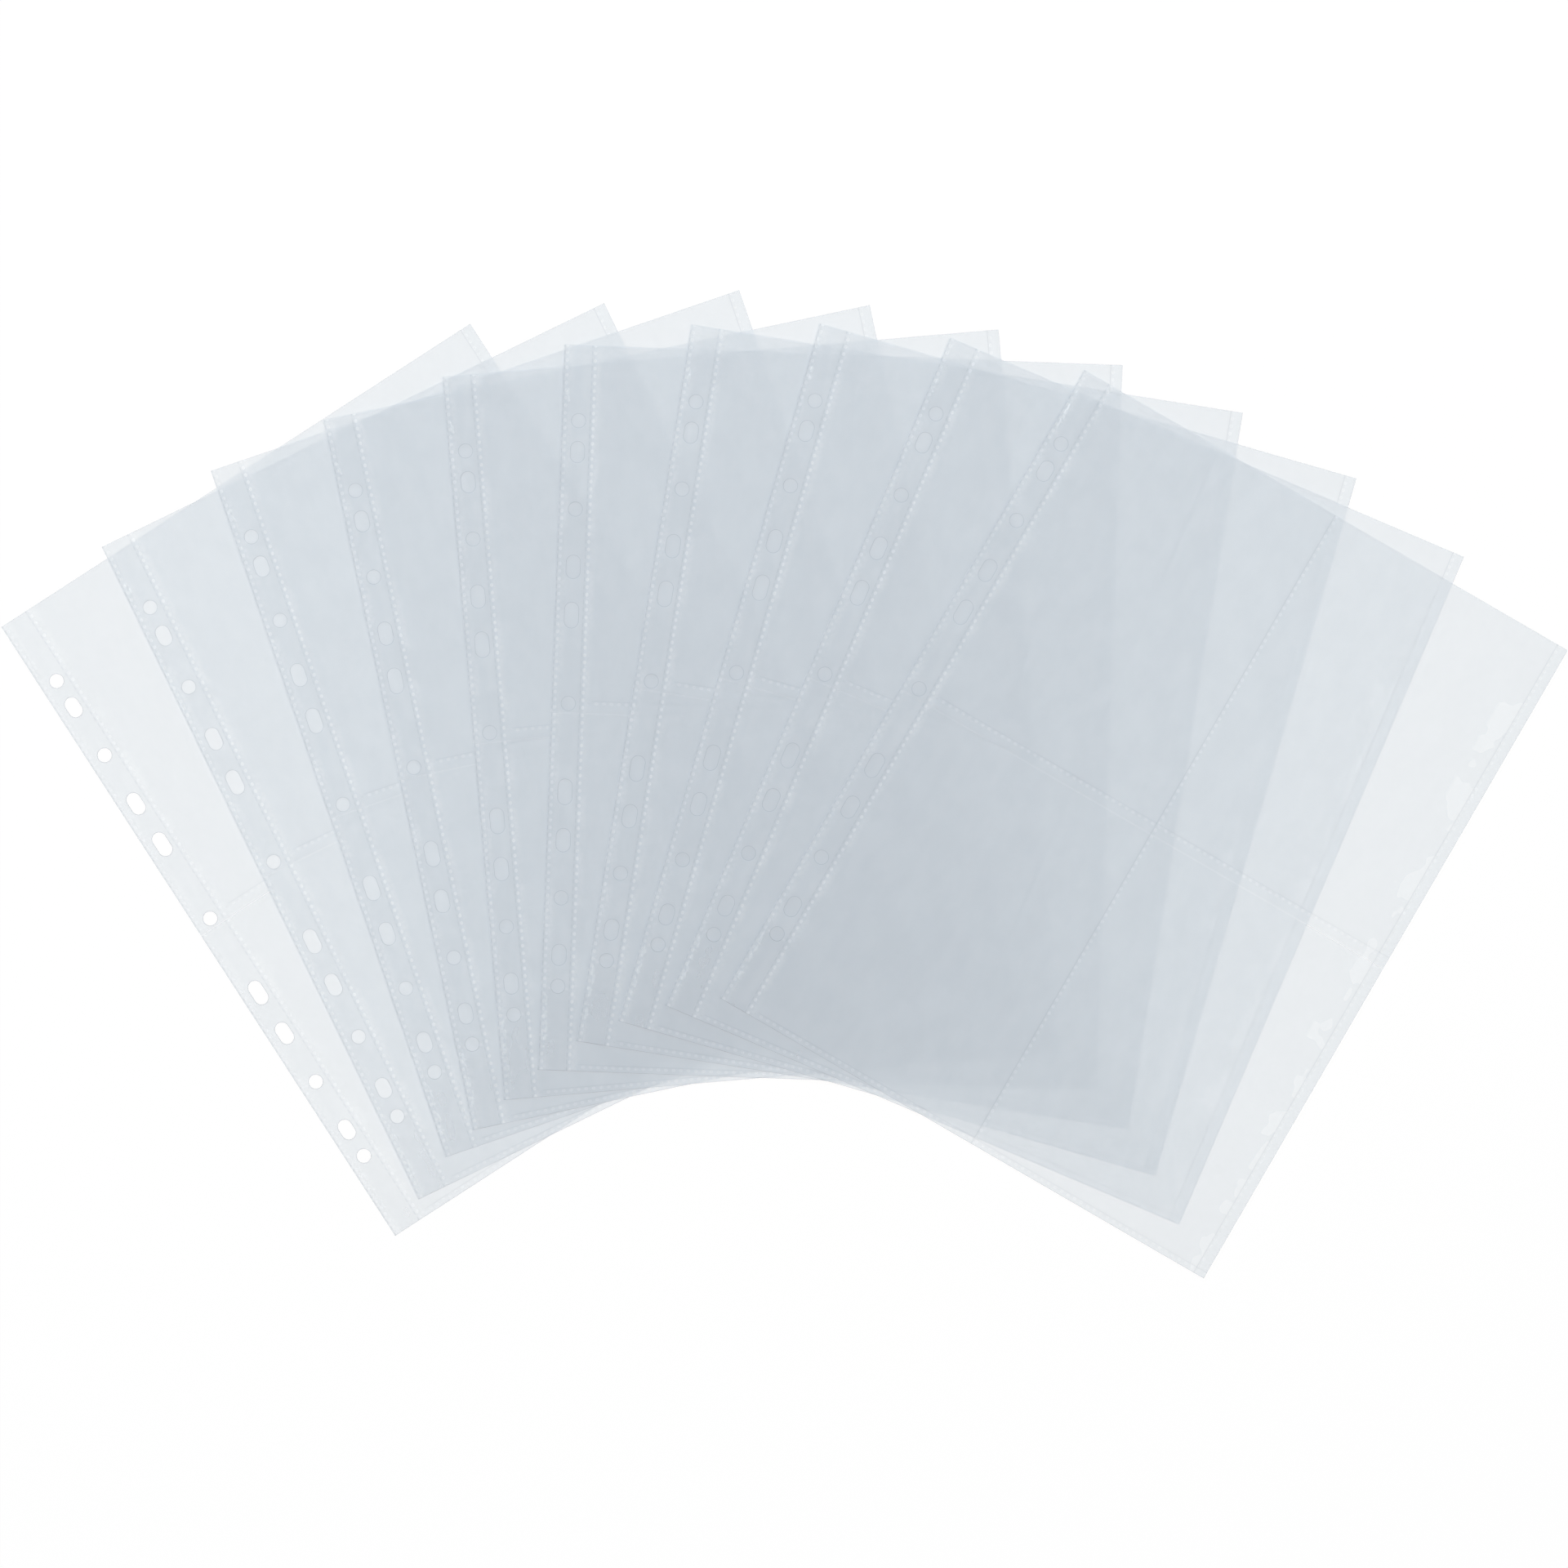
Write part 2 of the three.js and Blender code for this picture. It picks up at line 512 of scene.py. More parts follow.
    def _inside(self, top: float, bottom: float) -> Array:
        """Points inside the film: close together along seams, far apart in the middle of a pocket.

        Args:
            top: Where the film begins.
            bottom: Where it ends.

        Returns:
            The points, away from all edges.
        """
        d = self.design
        back = self.film is Film.BACK
        parts = [self._grid(0, d.width, top, bottom, self.coarse_step, self.coarse_step)]
        if back:
            parts.append(self._grid(0, d.inner_seam, top, bottom, self.STRIP_STEP, self.STRIP_STEP))
        else:
            parts.append(self._grid(2.5, d.inner_seam - 1, top, bottom, 1.1, self.fine_step))
            for across in self._beside(d.upright_seams, self.OFFSETS):
                parts.append(self._grid(across, across, top, bottom, 1.0, self.fine_step))
            for down in self._beside((d.floor_seam, d.bottom_seam), self.OFFSETS[:7]):
                parts.append(self._grid(d.inner_seam, d.width, down, down, self.LEVEL_STEP, 1.0))
        points = np.concatenate(parts)
        margin = self.rim_width + self.CLEARANCE
        inside = (points[:, 0] > margin) & (points[:, 0] < d.width - margin)
        inside &= (points[:, 1] > top + margin) & (points[:, 1] < bottom - margin)
        points = points[inside]
        if not back:
            points = points[~self._ridged(points)]
        return points[self._clear_of_holes(points, margin)]

    @staticmethod
    def _beside(seams: tuple[float, ...], offsets: tuple[float, ...]) -> list[float]:
        """The places at some distances to both sides of some seams."""
        return [seam + side * offset for seam in seams for side in (-1, 1) for offset in offsets]

    def _ridged(self, points: Array) -> Array:
        """Which points lie where the film has sharp ridges.

        Args:
            points: Places across and down.

        Returns:
            A yes or no for each point.
        """
        left, right = self.RIDGED_ACROSS
        among = np.zeros(len(points), bool)
        for start, end in self.RIDGED:
            among |= (points[:, 1] > start) & (points[:, 1] < end)
        return among & (points[:, 0] > left) & (points[:, 0] < right)

    def _ridge_points(self, top: float, bottom: float) -> list[Array]:
        """Points set close together where a pocket film has sharp ridges.

        Args:
            top: Where the film begins.
            bottom: Where it ends.

        Returns:
            The points of each ridged place in this film.
        """
        if self.film is Film.BACK:
            return []
        areas = []
        for start, end in self.RIDGED:
            if top < start and end < bottom:
                grid = self._grid(*self.RIDGED_ACROSS, start, end, self.ridge_step, self.ridge_step)
                areas.append(grid[self._clear_of_holes(grid, self.rim_width + 0.3)])
        return areas

    @staticmethod
    def _grid(
        left: float, right: float, top: float, bottom: float, step_x: float, step_y: float
    ) -> Array:
        """Rows of points in a rectangle, every other row shifted by half a step.

        Args:
            left: Where the rows begin.
            right: Where they end.
            top: Where the first row lies.
            bottom: Where the last one lies.
            step_x: The step along a row.
            step_y: The step from row to row.

        Returns:
            The points.
        """
        columns = np.linspace(left, right, max(1, round((right - left) / step_x) + 1))
        rows = np.linspace(top, bottom, max(1, round((bottom - top) / step_y) + 1))
        across, down = np.meshgrid(columns, rows)
        if len(columns) > 2:
            across = across + (np.arange(len(rows)) % 2)[:, None] * step_x / 2
        return np.stack([across.ravel(), down.ravel()], 1)

    @staticmethod
    def _thinned(points: Array, cell: float = 0.42) -> Array:
        """The points with at most one left in each small cell, earlier ones first.

        Args:
            points: Places across and down.
            cell: The cell's size.

        Returns:
            The points that are left.
        """
        keys = np.floor(points / cell).astype(np.int64)
        _, first = np.unique(keys[:, 0] * 100_000 + keys[:, 1], return_index=True)
        return points[np.sort(first)]


@dataclass(frozen=True)
class Placement:
    """Where one sleeve lies, read from the frame.

    Args:
        number: The sleeve's number, from 1 at the bottom of the fan.
        corner: The upper corner on the punched side, in metres.
        right: The direction across the sleeve.
        down: The direction down the sleeve.
    """

    number: int
    corner: Array
    right: Array
    down: Array

    @property
    def body(self) -> str:
        """The name of the body that carries the sleeve."""
        return f"sleeve_{self.number:02d}"

    def points(self, flat: Array, height: Array) -> Array:
        """The places in metres of points of the sleeve, at some heights over its underside."""
        spread = flat[:, :1] * self.right + flat[:, 1:] * self.down + height[:, None] * UP
        return self.corner + spread * MM

    @staticmethod
    def read(number: int) -> Placement:
        """Finds a sleeve in the frame by the corners of its back film.

        Args:
            number: The sleeve's number.

        Returns:
            Its placement.
        """
        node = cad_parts[f"sleeve_{number:02d}_{Film.BACK.value}"]
        corners = np.array([vertex.co for vertex in node.data.vertices], float)
        turn = math.radians(FIRST_TURN_DEG + TURN_STEP_DEG * (number - 1))
        right = np.array([math.cos(turn), math.sin(turn), 0.0])
        down = np.array([math.sin(turn), -math.cos(turn), 0.0])
        corner = right * (corners @ right).min() + down * (corners @ down).min()
        corner[2] = corners[:, 2].min()
        return Placement(number, corner, right, down)


class Reading:
    """A number or colour in a material, so that shader maths reads as plain arithmetic."""

    def __init__(self, tree: ShaderTree, socket: NodeSocket) -> None:
        """Wraps a socket of a tree."""
        self.tree = tree
        self.socket = socket

    def __add__(self, other: Reading | float) -> Reading:
        """The sum."""
        return self.tree.math("ADD", self, other)

    __radd__ = __add__

    def __sub__(self, other: Reading | float) -> Reading:
        """The difference."""
        return self.tree.math("SUBTRACT", self, other)

    def __rsub__(self, other: float) -> Reading:
        """A number less this."""
        return self.tree.math("SUBTRACT", other, self)

    def __mul__(self, other: Reading | float) -> Reading:
        """The product."""
        return self.tree.math("MULTIPLY", self, other)

    __rmul__ = __mul__

    def __truediv__(self, other: Reading | float) -> Reading:
        """The quotient."""
        return self.tree.math("DIVIDE", self, other)

    def __abs__(self) -> Reading:
        """The size without its sign."""
        return self.tree.math("ABSOLUTE", self)

    def eased(self, low: float, high: float) -> Reading:
        """A smooth step from 0 at low to 1 at high, where high may be below low.

        Args:
            low: Where the step begins.
            high: Where it ends.

        Returns:
            Numbers from 0 to 1.
        """
        flip = low > high
        start, end = (high, low) if flip else (low, high)
        limits = {"Value": self, "From Min": start, "From Max": end}
        node = self.tree.node("ShaderNodeMapRange", {"interpolation_type": "SMOOTHSTEP"}, limits)
        step = Reading(self.tree, node.outputs["Result"])
        return 1.0 - step if flip else step

    def bounced(self, half_pitch: float) -> Reading:
        """How far it is from the nearest multiple of a pitch, given half the pitch."""
        return self.tree.math("PINGPONG", self, half_pitch)

    def nearest(self, places: tuple[float, ...]) -> Reading:
        """How far it is from the nearest of some places.

        Args:
            places: The places.

        Returns:
            The distance.
        """
        gap = abs(self - places[0])
        for place in places[1:]:
            gap = self.tree.math("MINIMUM", gap, abs(self - place))
        return gap

    def band(self, middle: float, half: float, soft: float) -> Reading:
        """1 within half of the middle, falling to 0 over the soft width beyond."""
        return abs(self - middle).eased(half + soft, half)


class NodeTree:
    """A tree of nodes, which are all added by one typed call."""

    def __init__(self, tree: bpy.types.NodeTree) -> None:
        """Takes a tree and empties it."""
        self.tree = tree
        tree.nodes.clear()

    def node(self, kind: str, settings: dict | None = None, inputs: dict | None = None) -> Node:
        """Adds a node.

        Args:
            kind: The node's type.
            settings: Its own settings, set first.
            inputs: Values or links of its sockets, by name or place. A node stands for its first output.

        Returns:
            The node.
        """
        made = self.tree.nodes.new(kind)
        for name, value in (settings or {}).items():
            setattr(made, name, value)
        for name, value in (inputs or {}).items():
            if isinstance(value, Reading):
                value = value.socket
            if isinstance(value, Node):
                value = value.outputs[0]
            if isinstance(value, NodeSocket):
                self.tree.links.new(value, made.inputs[name])
            else:
                made.inputs[name].default_value = value
        return made


class ShaderTree(NodeTree):
    """The shader of a material or of the room."""

    def __init__(self, owner: Material | World) -> None:
        """Starts with no nodes.

        Args:
            owner: The material or world, which gets its own tree.
        """
        self.owner = owner
        owner.use_nodes = True
        super().__init__(owner.node_tree)

    def path(self, *kinds: str) -> Reading:
        """1 for rays of any of the kinds, which are outputs of Light Path.

        Args:
            kinds: The outputs' names.

        Returns:
            1 or 0.
        """
        outputs = self.node("ShaderNodeLightPath").outputs
        total = Reading(self, outputs[kinds[0]])
        for kind in kinds[1:]:
            total = total + Reading(self, outputs[kind])
        return total

    def blend(self, share: Reading | float, first: Node, second: Node) -> Node:
        """Adds a Mix Shader: 0 for the first shader, 1 for the second."""
        return self.node("ShaderNodeMixShader", None, {0: share, 1: first, 2: second})

    def math(self, operation: str, *values: Reading | float) -> Reading:
        """Adds a Math node for an operation on some values, and gives its result."""
        node = self.node("ShaderNodeMath", {"operation": operation}, dict(enumerate(values)))
        return Reading(self, node.outputs[0])

    def mixed(self, share: Reading, first: tuple | Reading, second: tuple | Reading) -> Reading:
        """A colour between two colours, with a share of 0 for the first and 1 for the second."""
        node = self.node("ShaderNodeMix", {"data_type": "RGBA"}, {0: share, 6: first, 7: second})
        return Reading(self, node.outputs[2])

    def places(self, uv_map: str) -> tuple[Reading, Reading, Reading]:
        """The place on the sleeve that a UV map gives: the vector, and its across and down parts.

        Args:
            uv_map: The map's name.

        Returns:
            The vector, the part across and the part down.
        """
        vector = self.node("ShaderNodeUVMap", {"uv_map": uv_map}).outputs["UV"]
        parts = self.node("ShaderNodeSeparateXYZ", None, {0: vector})
        return Reading(self, vector), Reading(self, parts.outputs[0]), Reading(self, parts.outputs[1])

    def cloud(self, vector: Reading, scale: tuple[float, float, float], detail: float = 1.0) -> Reading:
        """Soft noise from 0 to 1.

        Args:
            vector: Where it is read.
            scale: How fast it changes in each direction.
            detail: How many finer layers it has.

        Returns:
            The noise.
        """
        stretched = self.node("ShaderNodeVectorMath", {"operation": "MULTIPLY"}, {0: vector, 1: scale})
        values = {"Vector": stretched, "Scale": 1.0, "Detail": detail, "Roughness": 0.5}
        noise = self.node("ShaderNodeTexNoise", {"noise_dimensions": "2D"}, values)
        return Reading(self, noise.outputs[0])

    def attribute(self, name: str) -> Reading:
        """A number that the mesh carries."""
        return Reading(self, self.node("ShaderNodeAttribute", {"attribute_name": name}).outputs["Fac"])

    def finish(self, shader: Node) -> Material | World:
        """Sends a shader to the output and gives the material or world back.

        Args:
            shader: The whole shader.

        Returns:
            The finished material or world.
        """
        kind = "World" if isinstance(self.owner, World) else "Material"
        self.node("ShaderNodeOutput" + kind, None, {"Surface": shader})
        return self.owner


@dataclass(frozen=True)
class Finish:
    """A thin glossy surface that covers only a little of what is behind it.

    Args:
        tint: Its colour.
        cover: How much one face of it hides.
        gloss: Its roughness.
        lamp_tint: What one face lets through of the lamp's light.
        index: Its refractive index.
    """

    tint: Colour
    cover: float
    gloss: float
    lamp_tint: Colour = WHITE
    index: float = 1.5

    def coat(self, tree: ShaderTree, colour: Reading | Colour, cover: Reading | float) -> Node:
        """Adds its glossy surface with some colour and cover."""
        values = {"Base Color": colour, "Roughness": self.gloss, "IOR": self.index, "Alpha": cover}
        return tree.node("ShaderNodeBsdfPrincipled", None, values)

    def finished(self, tree: ShaderTree, surface: Node) -> Material:
        """Finishes a material, which only tints the lamp's light."""
        clear = tree.node("ShaderNodeBsdfTransparent", None, {"Color": self.lamp_tint})
        return tree.finish(tree.blend(tree.path("Is Shadow Ray"), surface, clear))


@dataclass(frozen=True)
class ClearFilm(Finish):
    """Glossy clear polypropylene film, faintly blue-grey, with a painted sheen beside its welds and painted
    highlights on its ridges.

    Its own cover is that of a pocket film's outer face.

    Args:
        sheen_and_whitening: The colour that film is made whiter towards: melted spots and clinging patches,
            and also the painted sheen by the seams and the painted highlights on ridges, open edges and a
            bend.
        edge: The colour of its cut edges, seen through the film's thickness.
        under_cover: How much the film's half of every other face hides.
        stain: What the clear half of such a face lets through.
    """

    tint: Colour = (0.670, 0.768, 0.847, 1.0)
    cover: float = 0.33
    gloss: float = 0.16
    lamp_tint: Colour = (0.9868, 0.9732, 0.966, 1.0)
    sheen_and_whitening: Colour = (0.85, 0.935, 1.0, 1.0)
    edge: Colour = (0.27, 0.32, 0.39, 1.0)
    under_cover: float = 0.01
    stain: Colour = (0.945, 0.944, 0.943, 1.0)

    def face(self, design: SleeveDesign) -> Material:
        """Makes the material of a pocket film's outer face.

        Args:
            design: The sleeve's sizes, which place its seams.

        Returns:
            The material.
        """
        tree = ShaderTree(bpy.data.materials.new("clear_film"))
        _, across, down = tree.places(PLACE_MAP)
        grain, _, _ = tree.places(GRAIN_MAP)
        clouds = tree.cloud(grain, (0.075, 0.05, 1.0), 2.0)
        streaks = tree.cloud(grain, (0.11, 0.012, 1.0))
        crinkle = tree.cloud(grain, (0.55, 0.55, 1.0))
        # Painted sheen beside the strip's seams, standing in for light glancing off the crinkled film.
        sheen_and_whitening = self._painted_seam_sheen(design, across, clouds, crinkle)
        cling = self._cling(design, across, down, clouds)
        line, spots = self._seams(design, across, down)
        # bend is a painted highlight along the bend above the strip's foot.
        flat, bend = self._flat_foot(design, across, down, clouds)
        hem = across.eased(design.right_seam, design.right_seam + 0.4)
        low_end = down.eased(250.0, 300.0)
        rim = tree.attribute(RIM)
        # Painted highlight on the ridges and the pocket's open edge: a whiter colour and a little more
        # cover.
        white = tree.attribute(PAINTED_HIGHLIGHT).eased(0.1, 0.9)
        # How far the colour goes whiter: painted sheen by the seams and painted highlights on ridges, open
        # edges and the bend, plus melted spots, clinging patches and random clouds.
        pale = sheen_and_whitening + 0.3 * white + 0.5 * spots + 0.3 * bend + 0.6 * cling + 0.12 * clouds.eased(0.3, 0.7)
        dark = rim.eased(0.0, 0.9) + 0.5 * line + 0.05 * flat + 0.05 * low_end
        colour = tree.mixed(dark, tree.mixed(pale, self.tint, self.sheen_and_whitening), self.edge)
        evenness = 0.96 + 0.03 * streaks + 0.05 * clouds + 0.06 * hem + 0.28 * line
        cover = self.cover * evenness + 0.03 * spots + 0.25 * rim + 0.05 * white
        return self.finished(tree, self.coat(tree, colour, cover))

    def underside(self) -> Material:
        """Makes the plain material of the film's other faces.

        Returns:
            The material.
        """
        tree = ShaderTree(bpy.data.materials.new("clear_film_underside"))
        through = tree.node("ShaderNodeBsdfTransparent", None, {"Color": self.stain})
        film = self.coat(tree, self.tint, self.under_cover)
        return self.finished(tree, tree.blend(0.5, through, film))

    @staticmethod
    def _painted_seam_sheen(design: SleeveDesign, across: Reading, clouds: Reading, crinkle: Reading) -> Reading:
        """A painted sheen: the crinkled film just inside the strip's seams is painted whiter, in patches,
        in place of light glancing off its curves.

        Args:
            design: The sleeve's sizes, which place its seams.
            across: The place across the sleeve.
            clouds: Soft noise that breaks it into patches.
            crinkle: Finer noise, for its texture.

        Returns:
            How strongly the painted sheen shows.
        """
        outer = across.eased(design.outer_seam + 4.5, design.outer_seam + 0.5)
        inner = across.eased(design.inner_seam + 4.0, design.inner_seam + 0.5)
        inner = inner * across.eased(design.inner_seam - 0.5, design.inner_seam)
        wide = across.eased(design.inner_seam + 9.0, design.inner_seam) * across.eased(6.5, 10.0)
        patches = clouds.eased(0.47, 0.62)
        near = (outer + inner) * (0.35 + 0.65 * clouds.eased(0.38, 0.6))
        return 0.45 * near * (0.5 + 0.5 * crinkle.eased(0.35, 0.6)) + 0.12 * wide * patches

    @staticmethod
    def _flat_foot(
        design: SleeveDesign, across: Reading, down: Reading, clouds: Reading
    ) -> tuple[Reading, Reading]:
        """The foot of the strip, where the films lie flat together, and a painted highlight along the bend
        at its upper end.

        Args:
            design: The sleeve's sizes, which place its seams.
            across: The place across the sleeve.
            down: The place down the sleeve.
            clouds: Soft noise that makes its upper end uneven.

        Returns:
            How much the place belongs to the foot, and how strong the painted highlight on the bend is.
        """
        start = 272.5 + 5.0 * (clouds - 0.5) + 0.25 * abs(across - design.hole_row)
        past = down - start
        inside = across.eased(design.outer_seam + 1.2, design.outer_seam + 2.2)
        inside = inside * across.eased(design.inner_seam - 1.6, design.inner_seam - 2.2)
        return inside * past.eased(-0.4, 0.6), inside * past.band(-0.6, 0.2, 0.8)

    @staticmethod
    def _cling(design: SleeveDesign, across: Reading, down: Reading, clouds: Reading) -> Reading:
        """The sharp-edged patches inside the right seam where the two films cling together.

        Args:
            design: The sleeve's sizes, which place its seams.
            across: The place across the sleeve.
            down: The place down the sleeve.
            clouds: Soft noise that breaks it into patches.

        Returns:
            1 in a patch and 0 beside it.
        """
        reach = across.eased(design.right_seam - 10.0, design.right_seam - 1.5) * 0.18
        patch = (clouds + reach).eased(0.66, 0.68)
        patch = patch * across.eased(design.right_seam - 11.0, design.right_seam - 9.0)
        patch = patch * across.eased(design.right_seam - 0.5, design.right_seam - 0.9)
        return patch * down.eased(24.0, 32.0)

    @staticmethod
    def _seams(design: SleeveDesign, across: Reading, down: Reading) -> tuple[Reading, Reading]:
        """The thin dark lines beside the seams, and the pale melted spots in them.

        Args:
            design: The sleeve's sizes, which place its seams.
            across: The place across the sleeve.
            down: The place down the sleeve.

        Returns:
            How dark the lines are, and how pale the spots.
        """
        d = design
        levels = (d.floor_seam, d.bottom_seam)
        off_upright = across.nearest(d.upright_seams) / (d.seam_width / 2)
        off_level = down.nearest(levels) / (d.seam_width / 2)
        along_down = down.bounced(d.spot_pitch / 2) / (d.spot_length / 2)
        along_across = across.bounced(d.spot_pitch / 2) / (d.spot_length / 2)
        in_upright = (off_upright * off_upright + along_down * along_down).eased(1.6, 0.7)
        in_level = (off_level * off_level + along_across * along_across).eased(1.6, 0.7)
        past_strip = across.eased(d.inner_seam - 4.0, d.inner_seam - 2.0)
        inside = across.eased(d.inner_seam + 3.0, d.inner_seam + 4.0)
        spots = in_upright * (0.65 + 0.35 * past_strip - 0.35 * inside) + 0.55 * in_level * inside
        broken = 0.4 + 0.6 * along_down.eased(1.7, 0.8)
        line = across.nearest((d.outer_seam - 1.15, d.inner_seam - 1.3)).eased(0.32, 0.12) * broken
        line = line + across.nearest((d.middle_seam - 0.95, d.right_seam - 0.95)).eased(0.3, 0.1)
        beside_levels = down.nearest(tuple(level - 0.95 for level in levels)).eased(0.3, 0.1)
        return line + 0.7 * beside_levels * inside, spots


@dataclass(frozen=True)
class WeldSpot(Finish):
    """A melted spot in a seam, whiter than the film around it and fully clear for the lamp's light."""

    tint: Colour = (0.85, 0.9, 0.94, 1.0)
    cover: float = 0.015
    gloss: float = 0.2

    def build(self) -> Material:
        """Makes the material."""
        tree = ShaderTree(bpy.data.materials.new("weld_spot"))
        return self.finished(tree, self.coat(tree, self.tint, self.cover))


@dataclass
class SpotRow:
    """The Geometry Nodes tree that sets weld spots along seam lines, each a small flat ball.

    Args:
        material: The spots' material.
        pitch: The distance from spot to spot.
        length: A spot's length along its seam.
        width: Its width across the seam.
        height: Its thickness.
        smallest: The size of the smallest spots, as a share of the full one.
        largest: The size of the largest ones.
    """

    material: Material
    pitch: float
    length: float
    width: float = 1.0
    height: float = 0.045
    smallest: float = 0.75
    largest: float = 1.1

    def __post_init__(self) -> None:
        """Builds the tree."""
        self.group = bpy.data.node_groups.new("weld_spots", "GeometryNodeTree")
        face = self.group.interface
        face.new_socket("Geometry", in_out="INPUT", socket_type="NodeSocketGeometry")
        for name in ("Pitch", "Length", "Width", "Height"):
            face.new_socket(name, in_out="INPUT", socket_type="NodeSocketFloat")
        face.new_socket("Seed", in_out="INPUT", socket_type="NodeSocketInt")
        face.new_socket("Geometry", in_out="OUTPUT", socket_type="NodeSocketGeometry")
        add = NodeTree(self.group).node
        given = add("NodeGroupInput").outputs
        lines = add("GeometryNodeMeshToCurve", None, {"Mesh": given["Geometry"]})
        spaced = {"Curve": lines, "Length": given["Pitch"]}
        points = add("GeometryNodeCurveToPoints", {"mode": "LENGTH"}, spaced)
        ahead = {"Vector": points.outputs["Tangent"]}
        facing = add("FunctionNodeAlignRotationToVector", {"axis": "Y", "pivot_axis": "Z"}, ahead)
        ball = add("GeometryNodeMeshUVSphere", None, {"Segments": 10, "Rings": 4, "Radius": 0.5})
        full = {"X": given["Width"], "Y": given["Length"], "Z": given["Height"]}
        size = add("ShaderNodeCombineXYZ", None, full)
        limits = {2: self.smallest, 3: self.largest, "Seed": given["Seed"]}
        share = add("FunctionNodeRandomValue", {"data_type": "FLOAT"}, limits)
        scale = add("ShaderNodeVectorMath", {"operation": "SCALE"}, {0: size, "Scale": share.outputs[1]})
        set_out = {"Points": points, "Instance": ball, "Rotation": facing, "Scale": scale}
        spots = add("GeometryNodeInstanceOnPoints", None, set_out)
        solid = add("GeometryNodeRealizeInstances", None, {"Geometry": spots})
        smooth = add("GeometryNodeSetShadeSmooth", None, {"Geometry": solid})
        dressed = add("GeometryNodeSetMaterial", None, {"Geometry": smooth, "Material": self.material})
        add("NodeGroupOutput", None, {"Geometry": dressed})

    def along(self, name: str, starts: Array, ends: Array, seed: int) -> Object:
        """Makes the spots along some straight seams.

        Args:
            name: The piece's name.
            starts: Where each seam begins, in metres.
            ends: Where each seam ends, in metres.
            seed: What the small differences between spots are drawn from.

        Returns:
            A plain mesh piece.
        """
        count = len(starts)
        lines = bpy.data.meshes.new(name + "_lines")
        points = np.concatenate([starts, ends])
        lines.from_pydata(points.tolist(), [(i, i + count) for i in range(count)], [])
        guide = placed(name + "_lines", lines)
        nodes = guide.modifiers.new("spots", "NODES")
        nodes.node_group = self.group
        sizes = {"Pitch": self.pitch, "Length": self.length, "Width": self.width, "Height": self.height}
        values = {label: size * MM for label, size in sizes.items()} | {"Seed": seed}
        for item in self.group.interface.items_tree:
            if item.in_out == "INPUT" and item.name in values:
                nodes[item.identifier] = values[item.name]
        evaluated = guide.evaluated_get(bpy.context.evaluated_depsgraph_get())
        mesh = bpy.data.meshes.new_from_object(evaluated)
        mesh.name = name
        bpy.data.objects.remove(guide)
        return placed(name, mesh)


